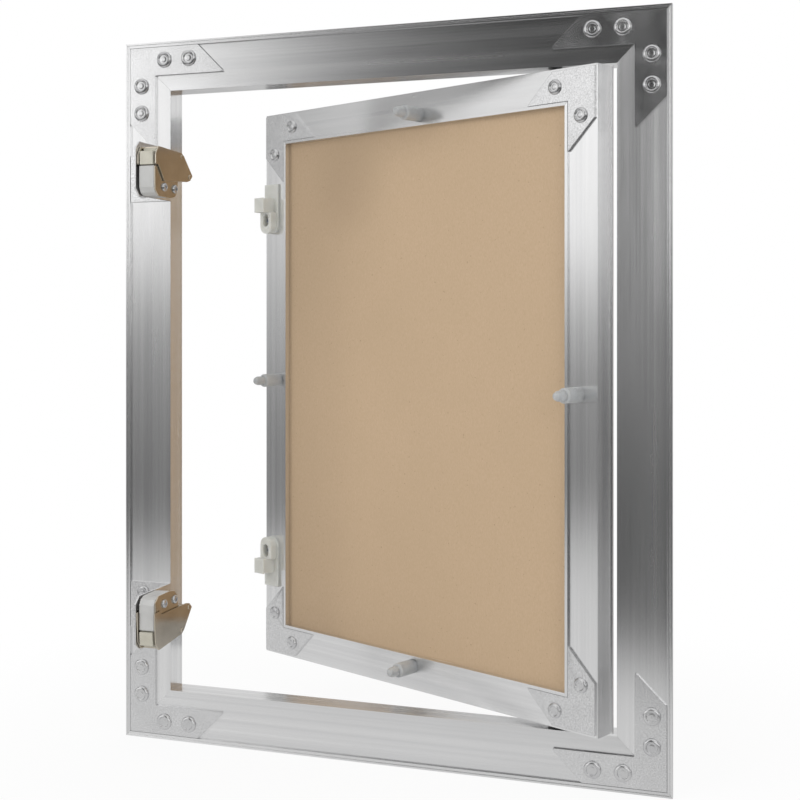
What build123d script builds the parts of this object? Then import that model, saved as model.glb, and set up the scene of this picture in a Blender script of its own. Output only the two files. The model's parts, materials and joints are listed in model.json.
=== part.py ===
from build123d import *
import math
import os

# A drywall access panel: an aluminium frame glued or screwed behind a cut-out in a board wall,
# and a hinged aluminium door frame that carries its own piece of plasterboard.
# X runs across the panel, Y through the wall towards the room and Z up, in millimetres.
# The origin is the centre of the cut-out, in the plane where the wall board lies on the flange.
# The panel is drawn as it stands seen from behind the wall: latches left, hinge pins right.

# Wall and frame
neck_width = 292.0
neck_height = 392.0
neck_wall = 1.8
wall_board = 12.5
filler_allowance = 1.6
flange_overhang = 30.0
flange_thickness = 1.6
rim_width = 3.0
rim_height = 1.5
rim_groove_width = 0.8
rim_groove_depth = 0.5

# Corner plates and rivets of the frame
plate_clearance = 0.2
plate_bend = 0.8
frame_plate_leg = 52.2
frame_plate_arm = 18.3
frame_rivet_row = 11.6
frame_rivet_first = 28.1
frame_rivet_pitch = 17.6
rivet_head_radius = 5.2
rivet_top_radius = 4.4
rivet_head_height = 1.7
rivet_dish_radius = 3.0
rivet_dish_depth = 0.6
rivet_shank_radius = 2.5
rivet_clearance = 0.05

# Door frame and its board
door_gap = 1.9
door_wall = 1.5
door_rail = 22.0
door_bead = 2.0
door_bead_height = 1.5
door_floor = 1.4
door_rail_gap = 1.5
door_board = 12.5
board_clearance = 0.2
edge_groove_width = 1.2
edge_groove_depth = 0.4
edge_lip = 1.2
edge_lip_overhang = 0.5

# Corner plates and rivets of the door
door_plate_edge = 1.3
door_plate_leg = 31.0
door_plate_thickness = 1.5
door_rivet_along = 28.8
door_rivet_row = 10.6
door_rivet_head_radius = 4.5
door_rivet_top_radius = 3.8

# Hinge: a pin at the top and one at the bottom, set in from the neck so that the edge swings back
pivot_inset = 37.7
pivot_depth = 7.3
pin_radius = 2.0
pin_head_radius = 3.5
pin_head_height = 1.0
pin_reach = 9.0
bush_clearance = 0.05
bush_radius = 3.5
bush_flange_radius = 4.2
bush_flange = 1.2
bush_length = 9.8
bush_pocket_clearance = 0.1
rest_angle = 24.5

# Board screws, one near the middle of each side, and the caps over their points
board_screw_row = 15.0
side_screw_row = 13.4
side_screw_rise = 2.9
head_screw_shift = 5.5
board_screw_radius = 1.75
board_screw_head_radius = 4.0
board_screw_head_height = 2.6
board_screw_length = 35.0
board_screw_point = 5.0
screw_clearance = 0.05
cap_radius = 4.5
cap_lower_length = 15.2
cap_upper_radius = 3.05
cap_upper_length = 7.8
cap_bore_depth = 20.3

# Latch: its height is counted from the end of the frame to the middle of the catch tab, and both
# latches hang a little below the places that mirror each other
latch_from_end = 97.6
latch_drop = 1.1
sheet = 1.2
cheek = 0.8
side_gap = 0.3
housing_width = 10.0
housing_back = 43.8
housing_shoulder = 13.7
housing_shelf = 17.0
bracket_low = -4.6
bracket_high = 25.6
upright_high = 29.0
bracket_reach = 45.6
bracket_chamfer = 4.5
bracket_neck = 6.0
bracket_rivet_row = 12.7
bracket_rivet_heights = (2.3, 17.5)
arm_pivot_y = -11.4
arm_pivot_z = 22.4
arm_pivot_radius = 1.2
arm_pin_y = 10.8
arm_pin_z = -11.9
arm_pin_radius = 1.5
arm_nose_y = 14.8
arm_nose_z = -10.9
arm_back = 32.9
arm_crown = (-29.6, 3.3)
arm_brow = (0.0, 2.4)
arm_travel = 41.7
lower_arm_turn = 4.5
lower_shoulder_rise = 2.4
running_clearance = 0.05
latch_screw_radius = 1.5
latch_screw_head_radius = 2.75
latch_screw_head_height = 1.2
latch_screw_front = -18.9
latch_screw_pitch = 13.3
latch_screw_height = 1.2
block_depth = 6.2
block_neck_depth = 7.6
block_drop = 2.2
block_side_gap = 0.4
spring_width = 5.0
spring_thickness = 0.4

# Striker on the door's latch stile
striker_edge = 1.6
striker_width = 11.4
striker_low = -20.2
striker_high = 15.1
striker_foot = 7.2
pad_edge = 0.2
pad_width = 14.0
pad_height = 1.9
tab_edge = 0.2
tab_width = 9.9
tab_height = 10.3
tab_reach = 12.0
tab_round = 0.8
groove_clearance = 0.4
slot_height = -10.7
slot_length = 9.0
slot_width = 3.9
slot_counterbore = 5.9
slot_counterbore_depth = 4.0
striker_screw_head_radius = 2.7
striker_screw_head_height = 2.0
striker_screw_radius = 1.7
striker_screw_length = 18.0

# Places that follow from the sizes above
outer_x = neck_width / 2 + flange_overhang
outer_z = neck_height / 2 + flange_overhang
clear_x = neck_width / 2 - neck_wall
clear_z = neck_height / 2 - neck_wall
flange_back = -flange_thickness
rim_back = flange_back - rim_height
neck_front = wall_board + filler_allowance
frame_rail = flange_overhang + neck_wall
door_x = clear_x - door_gap
door_z = clear_z - door_gap
door_front = neck_front
board_back = door_front - door_board
rail_front = board_back - door_rail_gap
door_back = rail_front - door_floor
bead_y = door_back - door_bead_height
pivot_x = clear_x - pivot_inset
latch_z = outer_z - latch_from_end
latch_x = -clear_x
arm_left_x = latch_x + side_gap
housing_left_x = arm_left_x + cheek + side_gap
side_plate_x = housing_left_x + housing_width
arm_right_x = side_plate_x + cheek + side_gap
arm_outer_x = arm_right_x + cheek
pad_y = door_back - pad_height
foot_y = door_back - striker_foot
tab_y = door_back - tab_reach
striker_x = -door_x + striker_edge
striker_screw_x = striker_x + striker_width / 2
pad_x = -door_x + pad_edge
hinge_axis = Axis((pivot_x, pivot_depth, 0), (0, 0, 1))


def slab(points, y_from, y_to, radius=0.0):
    """A plate: an outline in X and Z, with rounded corners if asked, from one Y to another."""
    face = make_face(Polyline(*points, close=True))
    if radius:
        face = fillet(face.vertices(), radius)
    return extrude(Plane.XZ.offset(-y_to) * face, y_to - y_from)


def side_slab(points, x_from, x_to, radius=0.0):
    """A plate: an outline in Y and Z, with rounded corners if asked, from one X to another."""
    face = make_face(Polyline(*points, close=True))
    if radius:
        face = fillet(face.vertices(), radius)
    return extrude(Plane.YZ.offset(x_from) * face, x_to - x_from)


def box_between(low, high):
    """A box from its lowest corner to its highest."""
    size = [b - a for a, b in zip(low, high)]
    return Pos(*low) * Box(*size, align=(Align.MIN, Align.MIN, Align.MIN))


def turned_y(points):
    """A turned piece on an axis along Y, from its outline of radius and Y."""
    return revolve(make_face(Polyline(*points, close=True)), Axis.Y)


def rod_x(radius, x_from, x_to, y, z):
    """A round rod along X."""
    return Plane.YZ.offset(x_from) * Pos(y, z) * extrude(Circle(radius), x_to - x_from)


def rod_y(radius, y_from, y_to, x, z):
    """A round rod along Y."""
    return Plane.XZ.offset(-y_to) * Pos(x, z) * extrude(Circle(radius), y_to - y_from)


def rod_z(radius, z_from, z_to, x, y):
    """A round rod along Z."""
    return Pos(x, y, z_from) * extrude(Circle(radius), z_to - z_from)


def mitred_member(section, half_across, half_along, turn):
    """One side of a picture-frame: a section swept along the side and cut at 45 degrees at both ends.

    The section is given as distance inwards from the outer edge, and Y. The side is made at the
    left and turned about Y to its place.
    """
    outline = [(inwards - half_across, y) for inwards, y in section]
    depth = max(inwards for inwards, _ in section) + 1
    start = min(inwards for inwards, _ in section) - 1
    longest = half_along - start
    bar = extrude(Pos(0, 0, -longest) * make_face(Polyline(*outline, close=True)), 2 * longest)
    mitre = [
        (start - half_across, -longest),
        (start - half_across, longest),
        (depth - half_across, half_along - depth),
        (depth - half_across, depth - half_along),
    ]
    lowest = min(y for _, y in section) - 1
    highest = max(y for _, y in section) + 1
    return (bar & slab(mitre, lowest, highest)).rotate(Axis.Y, turn)


def frame_section():
    """Flange with a double-ridged rim on its back, and the neck that passes through the wall."""
    groove_start = (rim_width - rim_groove_width) / 2
    groove_y = rim_back + rim_groove_depth
    return [
        (0, 0),
        (0, rim_back),
        (groove_start, rim_back),
        (groove_start, groove_y),
        (groove_start + rim_groove_width, groove_y),
        (groove_start + rim_groove_width, rim_back),
        (rim_width, rim_back),
        (rim_width, flange_back),
        (frame_rail, flange_back),
        (frame_rail, neck_front),
        (flange_overhang, neck_front),
        (flange_overhang, 0),
    ]


def door_section():
    """Side wall with a groove and a proud front lip, and a flat rail with a raised bead inside."""
    groove_end = door_front - edge_lip
    groove_start = groove_end - edge_groove_width
    bead_x = door_rail - door_bead
    return [
        (0, door_back),
        (0, groove_start),
        (edge_groove_depth, groove_start),
        (edge_groove_depth, groove_end),
        (-edge_lip_overhang, groove_end),
        (-edge_lip_overhang, door_front),
        (door_wall, door_front),
        (door_wall, rail_front),
        (bead_x, rail_front),
        (bead_x, board_back),
        (door_rail, board_back),
        (door_rail, bead_y),
        (bead_x, bead_y),
        (bead_x, door_back),
    ]


def corners():
    """The four corners as names and signs."""
    return [
        ("upper_latch_side", -1, 1),
        ("lower_latch_side", -1, -1),
        ("upper_hinge_side", 1, 1),
        ("lower_hinge_side", 1, -1),
    ]


def corner_points(half_x, half_z, places, sign_x, sign_z):
    """Places given as distances in from a corner's two outer edges, turned into X and Z."""
    return [(sign_x * (half_x - across), sign_z * (half_z - down)) for across, down in places]


def frame_rivet_places():
    """Two rivets on each arm of a frame corner plate."""
    second = frame_rivet_first + frame_rivet_pitch
    arm = [(frame_rivet_first, frame_rivet_row), (second, frame_rivet_row)]
    return arm + [(down, across) for across, down in arm]


def door_rivet_places():
    """One rivet on each arm of a door corner plate."""
    return [(door_rivet_along, door_rivet_row), (door_rivet_row, door_rivet_along)]


def rivet(head_radius, top_radius, seat_y, end_y):
    """A rivet with a raised, dished button head at the back and a shank that ends flush."""
    top_y = seat_y - rivet_head_height
    return turned_y(
        [
            (0, top_y + rivet_dish_depth),
            (rivet_dish_radius, top_y + rivet_dish_depth),
            (rivet_dish_radius + rivet_dish_depth / 2, top_y),
            (top_radius, top_y),
            (head_radius, seat_y),
            (rivet_shank_radius, seat_y),
            (rivet_shank_radius, end_y),
            (0, end_y),
        ]
    )


def rivet_holes(points, y_from, y_to):
    """Clearance holes for rivets at the given X and Z."""
    radius = rivet_shank_radius + rivet_clearance
    return [rod_y(radius, y_from, y_to, x, z) for x, z in points]


def plate_outline(edge, leg, arm):
    """An L with arms of one width, whose ends are cut at 45 degrees to point inwards."""
    return [
        (edge, edge),
        (leg, edge),
        (leg + arm, edge + arm),
        (edge + arm, edge + arm),
        (edge + arm, leg + arm),
        (edge, leg),
    ]


def all_frame_rivet_points():
    """Every rivet of the four frame corners."""
    found = []
    for _, sign_x, sign_z in corners():
        found += corner_points(outer_x, outer_z, frame_rivet_places(), sign_x, sign_z)
    return found


def all_door_rivet_points():
    """Every rivet of the four door corners."""
    found = []
    for _, sign_x, sign_z in corners():
        found += corner_points(door_x, door_z, door_rivet_places(), sign_x, sign_z)
    return found


def bracket_rivet_points(side):
    """Rivets that hold a latch bracket to the flange, on the upper (1) or lower (-1) half."""
    x = bracket_rivet_row - outer_x
    return [(x, side * (latch_z + up) - latch_drop) for up in bracket_rivet_heights]


def near(shape, points):
    """The points that lie over a shape's box in X and Z, so that cuts aren't made in empty air."""
    box = shape.bounding_box()
    return [
        (x, z) for x, z in points if box.min.X < x < box.max.X and box.min.Z < z < box.max.Z
    ]


def frame_member(half_across, half_along, turn):
    """One member of the outer frame with its rivet and hinge pin holes."""
    member = mitred_member(frame_section(), half_across, half_along, turn)
    points = all_frame_rivet_points() + bracket_rivet_points(1) + bracket_rivet_points(-1)
    member -= rivet_holes(near(member, points), flange_back - 1, 1)
    for side in (1, -1):
        low, high = sorted((side * (clear_z - 1), side * (neck_height / 2 + 1)))
        if abs(turn) == 90:
            member -= rod_z(pin_radius, low, high, pivot_x, pivot_depth)
    return member


def frame_corner_plate(sign_x, sign_z):
    """A flat aluminium L riveted over a mitre of the frame, flush with the rim."""
    places = plate_outline(rim_width + plate_clearance, frame_plate_leg, frame_plate_arm)
    outline = corner_points(outer_x, outer_z, places, sign_x, sign_z)
    plate = slab(outline, rim_back, flange_back, plate_bend)
    holes = corner_points(outer_x, outer_z, frame_rivet_places(), sign_x, sign_z)
    return plate - rivet_holes(holes, rim_back - 1, flange_back + 1)


def frame_corner_rivets():
    """Sixteen rivets through the frame's corner plates and flange."""
    one = rivet(rivet_head_radius, rivet_top_radius, rim_back, 0)
    return Compound([Pos(x, 0, z) * one.solid() for x, z in all_frame_rivet_points()])


def hinge_pin(side):
    """A pin riveted in the neck, whose end stands in the door's bush."""
    head_z = neck_height / 2
    tip_z = door_z - pin_reach
    pin = rod_z(pin_radius, tip_z, head_z, pivot_x, pivot_depth)
    pin += rod_z(pin_head_radius, head_z, head_z + pin_head_height, pivot_x, pivot_depth)
    return pin if side > 0 else mirror(pin, Plane.XY)


def hinge_bush(side):
    """A flanged plastic bush in the door's rail that turns on the pin."""
    body = rod_z(bush_radius, door_z - bush_length, door_z, pivot_x, pivot_depth)
    body += rod_z(bush_flange_radius, door_z, door_z + bush_flange, pivot_x, pivot_depth)
    bore = pin_radius + bush_clearance
    body -= rod_z(bore, door_z - bush_length - 1, clear_z, pivot_x, pivot_depth)
    return body if side > 0 else mirror(body, Plane.XY)


def board_screw_points():
    """Near the middle of each side of the door, as X and Z."""
    across = door_x - side_screw_row
    up = door_z - board_screw_row
    return [(-across, side_screw_rise), (across, side_screw_rise), (head_screw_shift, up), (0, -up)]


def door_member(half_across, half_along, turn):
    """One member of the door frame with holes for its rivets, screws and hinge bush."""
    member = mitred_member(door_section(), half_across, half_along, turn)
    member -= rivet_holes(near(member, all_door_rivet_points()), door_back - 1, board_back + 1)
    for x, z in near(member, board_screw_points()):
        member -= rod_y(board_screw_radius + screw_clearance, door_back - 1, board_back + 1, x, z)
    for x, z in near(member, striker_screw_points()):
        member -= rod_y(striker_screw_radius + screw_clearance, door_back - 1, board_back + 1, x, z)
    if abs(turn) == 90:
        radius = bush_radius + bush_pocket_clearance
        member -= rod_z(radius, door_z - door_wall - 1, door_z + 1, pivot_x, pivot_depth)
        member -= rod_z(radius, -door_z - 1, -door_z + door_wall + 1, pivot_x, pivot_depth)
    return member


def door_corner_plate(sign_x, sign_z):
    """A flat L on the door rails, between their outer edge and the bead and flush with the bead."""
    arm = door_rail - door_bead - plate_clearance - door_plate_edge
    places = plate_outline(door_plate_edge, door_plate_leg, arm)
    outline = corner_points(door_x, door_z, places, sign_x, sign_z)
    plate = slab(outline, door_back - door_plate_thickness, door_back, plate_bend / 2)
    holes = corner_points(door_x, door_z, door_rivet_places(), sign_x, sign_z)
    return plate - rivet_holes(holes, bead_y - 1, door_back + 1)


def door_corner_rivets():
    """Eight rivets through the door's corner plates and rails."""
    seat_y = door_back - door_plate_thickness
    one = rivet(door_rivet_head_radius, door_rivet_top_radius, seat_y, rail_front)
    return Compound([Pos(x, 0, z) * one.solid() for x, z in all_door_rivet_points()])


def door_board_panel():
    """The piece of plasterboard that fills the door, drilled for its screws and hinge bushes."""
    half_x = door_x - door_wall - board_clearance
    half_z = door_z - door_wall - board_clearance
    board = box_between((-half_x, board_back, -half_z), (half_x, door_front, half_z))
    sink = board_screw_head_height + screw_clearance
    for x, z in board_screw_points():
        board -= rod_y(board_screw_radius + screw_clearance, board_back - 1, door_front + 1, x, z)
        board -= Pos(x, 0, z) * turned_y(
            [
                (0, door_front - sink),
                (board_screw_radius + screw_clearance, door_front - sink),
                (board_screw_head_radius + screw_clearance, door_front),
                (0, door_front),
            ]
        )
    for x, z in striker_screw_points():
        depth = striker_screw_tip_y() + 1
        board -= rod_y(striker_screw_radius + screw_clearance, board_back - 1, depth, x, z)
    radius = bush_radius + bush_pocket_clearance
    pocket = door_z - bush_length - 0.5
    board -= rod_z(radius, pocket, door_z, pivot_x, pivot_depth)
    board -= rod_z(radius, -door_z, -pocket, pivot_x, pivot_depth)
    return board


def board_screws():
    """Four drywall screws driven from the room side through board and rail."""
    tip = door_front - board_screw_length
    one = turned_y(
        [
            (0, tip),
            (board_screw_radius, tip + board_screw_point),
            (board_screw_radius, door_front - board_screw_head_height),
            (board_screw_head_radius, door_front),
            (0, door_front),
        ]
    )
    return Compound([Pos(x, 0, z) * one.solid() for x, z in board_screw_points()])


def screw_tip_cap(x, z):
    """A stepped plastic cap pushed over a screw's point until it sits on the rail."""
    step_y = door_back - cap_lower_length
    tip_y = step_y - cap_upper_length
    cap = turned_y(
        [
            (0, door_back),
            (cap_radius, door_back),
            (cap_radius, step_y + 1),
            (cap_radius - 1, step_y),
            (cap_upper_radius, step_y),
            (cap_upper_radius, tip_y + cap_upper_radius),
            (cap_upper_radius * 0.72, tip_y + cap_upper_radius * 0.3),
            (0, tip_y),
        ]
    )
    cap -= rod_y(board_screw_radius + screw_clearance, door_back - cap_bore_depth, door_back, 0, 0)
    return Pos(x, 0, z) * cap


def striker_screw_points():
    """The strikers' screws, as X and Z."""
    return [(striker_screw_x, side * (latch_z + slot_height) - latch_drop) for side in (1, -1)]


def striker_screw_seat_y():
    """Where a striker screw's head sits, at the bottom of the counterbored slot."""
    return foot_y + slot_counterbore_depth


def striker_screw_tip_y():
    """Where a striker screw ends, inside the board."""
    return striker_screw_seat_y() + striker_screw_length - striker_screw_head_height


def hung(shape, side):
    """A latch or striker piece drawn at its upper place, put there (1) or at the lower one (-1)."""
    placed = shape if side > 0 else mirror(shape, Plane.XY)
    return Pos(0, 0, -latch_drop) * placed


def swung(shape, side):
    """A piece of a latch arm: the lower arm rests a little further back than the upper one."""
    if side < 0:
        pivot = Axis((0, arm_pivot_y, latch_z + arm_pivot_z), (1, 0, 0))
        shape = shape.rotate(pivot, -lower_arm_turn)
    return hung(shape, side)


def filled_up(height, side):
    """A height of the housing's end: the lower housing is longer, up to its swung arm."""
    return height + (lower_shoulder_rise if side < 0 else 0)


def upright_slot(width, length, y_from, y_to, x, z):
    """A slot with round ends that runs up and down."""
    face = Pos(x, z) * SlotOverall(length, width, rotation=90)
    return extrude(Plane.XZ.offset(-y_to) * face, y_to - y_from)


def striker_base(left, width, y_from):
    """A plate on the rail as long as the striker, square at the catch end and round at the other."""
    right = left + width
    middle = left + width / 2
    round_z = latch_z + striker_low + width / 2
    top_z = latch_z + striker_high
    outline = Polyline((left, round_z), (left, top_z), (right, top_z), (right, round_z))
    outline += ThreePointArc((right, round_z), (middle, latch_z + striker_low), (left, round_z))
    return extrude(Plane.XZ.offset(-door_back) * make_face(outline), door_back - y_from)


def striker(side):
    """The plastic catch on the door's stile: a pad, a slotted foot and a tab with a notch on top."""
    pad = striker_base(pad_x, pad_width, pad_y)
    foot = striker_base(striker_x, striker_width, foot_y)
    tab_low = latch_z - tab_height / 2
    above = latch_z + striker_high + 1
    foot -= box_between((pad_x, foot_y - 1, tab_low), (pad_x + pad_width, door_back + 1, above))
    tab_left = tab_edge - door_x
    tab_right = tab_left + tab_width
    tab = box_between((tab_left, tab_y, tab_low), (tab_right, door_back, latch_z + tab_height / 2))
    tab = fillet(tab.edges().group_by(Axis.Y)[0], tab_round)
    body = pad + [foot, tab]
    notch_y = arm_pivot_y + latched_pin()[0]
    notch_z = latch_z + arm_pivot_z + latched_pin()[1]
    notch = arm_pin_radius + groove_clearance
    body -= rod_x(notch, tab_left - 1, tab_right + 1, notch_y, notch_z)
    slot_z = latch_z + slot_height
    x = striker_screw_x
    body -= upright_slot(slot_width, slot_length - 2, foot_y - 1, door_back + 1, x, slot_z)
    seat = striker_screw_seat_y()
    body -= upright_slot(slot_counterbore, slot_length, foot_y - 1, seat, x, slot_z)
    return hung(body, side)


def striker_screw(side):
    """A pan-head screw through the striker's slot and the stile into the board."""
    seat = striker_screw_seat_y()
    tip = striker_screw_tip_y()
    screw = turned_y(
        [
            (0, seat - striker_screw_head_height),
            (striker_screw_head_radius * 0.7, seat - striker_screw_head_height),
            (striker_screw_head_radius, seat - striker_screw_head_height / 2),
            (striker_screw_head_radius, seat),
            (striker_screw_radius, seat),
            (striker_screw_radius, tip - board_screw_point),
            (0, tip),
        ]
    )
    return hung(Pos(striker_screw_x, 0, latch_z + slot_height) * screw, side)


def latched_pin():
    """The arm's catch pin relative to the arm's pivot once the arm has swung back by its travel."""
    turn = -math.radians(arm_travel)
    y = arm_pin_y * math.cos(turn) - arm_pin_z * math.sin(turn)
    z = arm_pin_y * math.sin(turn) + arm_pin_z * math.cos(turn)
    return y, z


def latch_screw_places():
    """The two screws through a latch, as Y and Z."""
    z = latch_z + latch_screw_height
    return [(latch_screw_front, z), (latch_screw_front - latch_screw_pitch, z)]


def latch_bracket(side):
    """A bent sheet: a foot riveted on the flange and an upright that carries the latch."""
    low = latch_z + bracket_low
    high = latch_z + bracket_high
    top = latch_z + upright_high
    foot_left = -outer_x + rim_width + plate_clearance
    foot = [(foot_left, low), (foot_left, high), (latch_x, high), (latch_x, low)]
    bracket = slab(foot, flange_back - sheet, flange_back, plate_bend)
    upright = [
        (flange_back, low),
        (flange_back, high),
        (-bracket_neck, high),
        (-2 * bracket_neck, top),
        (bracket_chamfer - bracket_reach, top),
        (-bracket_reach, top - bracket_chamfer),
        (-bracket_reach, low + bracket_chamfer),
        (bracket_chamfer - bracket_reach, low),
    ]
    bracket += side_slab(upright, latch_x - sheet, latch_x)
    for y, z in latch_screw_places():
        bracket -= rod_x(latch_screw_radius, latch_x - 2 * sheet, latch_x + 1, y, z)
    pivot_z = latch_z + arm_pivot_z
    bracket -= rod_x(arm_pivot_radius, latch_x - 2 * sheet, latch_x + 1, arm_pivot_y, pivot_z)
    holes = rivet_holes(bracket_rivet_points(side), flange_back - 2 * sheet, flange_back + 1)
    return hung(bracket, side) - holes


def bracket_rivets(side):
    """The two rivets of a latch bracket."""
    one = rivet(door_rivet_head_radius, door_rivet_top_radius, flange_back - sheet, 0)
    return Compound([Pos(x, 0, z) * one.solid() for x, z in bracket_rivet_points(side)])


def side_plate_outline(side):
    """The fixed cheek, from the rounded back over the two screws and up to the arm's pivot."""
    back = 0.2 - housing_back
    top = filled_up(housing_shoulder, side) - 0.1
    eye = arm_pivot_radius + 1.0
    return [
        (back, top),
        (back + 0.4, -1.3),
        (back + 4.6, -4.9),
        (-24.8, -5.2),
        (latch_screw_front + 0.5, -4.1),
        (latch_screw_front + 3.7, -0.8),
        (latch_screw_front + 4.5, 4.3),
        (arm_pivot_y - eye, arm_pivot_z - eye),
        (arm_pivot_y + eye, arm_pivot_z - eye),
        (arm_pivot_y + eye, arm_pivot_z + 1.6),
        (arm_pivot_y - eye, arm_pivot_z + 1.6),
        (-35.5, filled_up(housing_shelf, side) - 1),
        (-35.5, top),
    ]


def raised(points):
    """An outline of the latch moved up to the latch's height."""
    return [(y, z + latch_z) for y, z in points]


def latch_side_plate(side):
    """The fixed steel cheek on the latch's inner side."""
    plate = side_slab(raised(side_plate_outline(side)), side_plate_x, side_plate_x + cheek, plate_bend)
    for y, z in latch_screw_places():
        plate -= rod_x(latch_screw_radius, side_plate_x - 1, side_plate_x + 1 + cheek, y, z)
    pivot_z = latch_z + arm_pivot_z
    plate -= rod_x(arm_pivot_radius, side_plate_x - 1, side_plate_x + 1 + cheek, arm_pivot_y, pivot_z)
    return hung(plate, side)


def latch_housing(side):
    """The plastic body between bracket and cheek, with two bosses that reach the bracket."""
    front = latch_screw_front + 3.0
    shelf = filled_up(housing_shelf, side)
    shoulder = filled_up(housing_shoulder, side)
    outline = [
        (-housing_back, shoulder),
        (-housing_back, 0.2),
        (1.8 - housing_back, -3.0),
        (5.2 - housing_back, -4.5),
        (-24.8, -4.8),
        (front - 3.0, -3.8),
        (front, -0.8),
        (front, 14.0),
        (front - 5.0, shelf),
        (-35.5, shelf),
        (-35.5, shoulder),
    ]
    right = side_plate_x
    housing = side_slab(raised(outline), housing_left_x, right, 0.8)
    for y, z in latch_screw_places():
        housing += rod_x(latch_screw_head_radius, latch_x, housing_left_x, y, z)
        housing -= rod_x(latch_screw_radius + screw_clearance, latch_x, right, y, z)
    return hung(housing, side)


def latch_screws(side):
    """Two screws through cheek, housing and bracket."""
    found = []
    for y, z in latch_screw_places():
        seat = side_plate_x + cheek
        screw = rod_x(latch_screw_radius, latch_x - sheet, seat, y, z)
        screw += rod_x(latch_screw_head_radius, seat, seat + latch_screw_head_height, y, z)
        found.append(hung(screw, side).solid())
    return Compound(found)


def latch_pivot_pin(side):
    """The pin that the arm swings on, held in the bracket and the fixed cheek."""
    z = latch_z + arm_pivot_z
    pin = rod_x(arm_pivot_radius, latch_x - sheet, arm_outer_x + 0.3, arm_pivot_y, z)
    return hung(pin, side)


def latch_spring(side):
    """A leaf spring clamped on the housing, whose free end loads the arm's web."""
    tip = (arm_pivot_y - 8.1, arm_pivot_z + 1.2)
    shelf = filled_up(housing_shelf, side)
    lower = [(-34.5, shelf), (-27.5, shelf), tip]
    rise = lower + [(y, z + spring_thickness) for y, z in reversed(lower)]
    middle = housing_left_x + housing_width / 2
    leaf = side_slab(raised(rise), middle - spring_width / 2, middle + spring_width / 2)
    return hung(leaf, side)


def arm_outline(side):
    """The swinging cheek, relative to its pivot: blunt back, straight top and a nose at the front.

    The upper arm's cheek is cut back above the screws. The lower one is full, with a step that
    leaves room for a screw's head.
    """
    front = [
        (-arm_back, -1.8),
        arm_crown,
        arm_brow,
        (3.2, 0.8),
        (arm_nose_y, arm_nose_z),
        (11.6, -14.1),
        (7.4, -15.3),
    ]
    if side > 0:
        return front + [(-21.9, -17.6), (-29.5, -8.0), (-arm_back, -8.2)]
    return front + [(-24.6, -17.6), (-24.6, -20.3), (-arm_back, -20.3)]


def crown_line(y):
    """The height of the arm's straight top at a distance from its pivot."""
    slope = (arm_brow[1] - arm_crown[1]) / (arm_brow[0] - arm_crown[0])
    return arm_crown[1] + slope * (y - arm_crown[0])


def at_pivot(points):
    """An outline given from the arm's pivot, in the latch's Y and Z."""
    return [(y + arm_pivot_y, z + arm_pivot_z) for y, z in points]


def latch_arm_channel(side):
    """The swinging part: two steel cheeks joined along the top by a narrow web."""
    outline = raised(at_pivot(arm_outline(side)))
    arm = side_slab(outline, arm_left_x, arm_left_x + cheek, 0.6)
    arm += side_slab(outline, arm_right_x, arm_outer_x, 0.6)
    web_top = [(y, crown_line(y)) for y in (-27.5, -7.0)]
    web = web_top + [(y, z - cheek) for y, z in reversed(web_top)]
    arm += side_slab(raised(at_pivot(web)), arm_left_x, arm_outer_x)
    pivot_z = latch_z + arm_pivot_z
    hole = arm_pivot_radius + running_clearance
    arm -= rod_x(hole, latch_x, arm_outer_x + 1, arm_pivot_y, pivot_z)
    arm -= rod_x(arm_pin_radius, latch_x, arm_outer_x + 1, arm_pivot_y + arm_pin_y, pivot_z + arm_pin_z)
    return swung(arm, side)


def latch_arm_block(side):
    """The plastic block in the back of the arm, whose neck is glued under the web."""
    bottom = arm_pivot_z - 8.2
    top = arm_pivot_z + crown_line(block_neck_depth - arm_back) - cheek
    step = top - block_drop
    back = arm_pivot_y - arm_back
    shelf = filled_up(housing_shelf, side) + spring_thickness + 0.3
    outline = [
        (back, bottom),
        (back + block_depth, bottom),
        (back + block_depth, shelf),
        (back + block_neck_depth, shelf),
        (back + block_neck_depth, top),
        (back + 4.8, top),
        (back + 4.8, step),
        (back, step),
    ]
    left = housing_left_x + block_side_gap
    right = side_plate_x - block_side_gap
    block = side_slab(raised(outline), left, right, 0.4)
    return swung(block, side)


def latch_catch_pin(side):
    """The pin across the arm's nose that drops into the notch of the striker's tab."""
    y = arm_pivot_y + arm_pin_y
    z = latch_z + arm_pivot_z + arm_pin_z
    pin = rod_x(arm_pin_radius, arm_left_x - 0.1, arm_outer_x + 0.4, y, z)
    return swung(pin, side)


def frame_nodes():
    """Everything fixed to the outer frame."""
    nodes = {
        "frame_latch_side_profile": frame_member(outer_x, outer_z, 0),
        "frame_hinge_side_profile": frame_member(outer_x, outer_z, 180),
        "frame_head_profile": frame_member(outer_z, outer_x, 90),
        "frame_sill_profile": frame_member(outer_z, outer_x, -90),
        "frame_corner_rivets": frame_corner_rivets(),
        "upper_hinge_pin": hinge_pin(1),
        "lower_hinge_pin": hinge_pin(-1),
    }
    for name, sign_x, sign_z in corners():
        nodes[f"frame_{name}_corner_plate"] = frame_corner_plate(sign_x, sign_z)
    for half, side in (("upper", 1), ("lower", -1)):
        nodes[f"{half}_latch_bracket"] = latch_bracket(side)
        nodes[f"{half}_latch_bracket_rivets"] = bracket_rivets(side)
        nodes[f"{half}_latch_housing"] = latch_housing(side)
        nodes[f"{half}_latch_side_plate"] = latch_side_plate(side)
        nodes[f"{half}_latch_screws"] = latch_screws(side)
        nodes[f"{half}_latch_pivot_pin"] = latch_pivot_pin(side)
        nodes[f"{half}_latch_spring"] = latch_spring(side)
        nodes[f"{half}_latch_arm_channel"] = latch_arm_channel(side)
        nodes[f"{half}_latch_arm_block"] = latch_arm_block(side)
        nodes[f"{half}_latch_catch_pin"] = latch_catch_pin(side)
    return nodes


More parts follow.
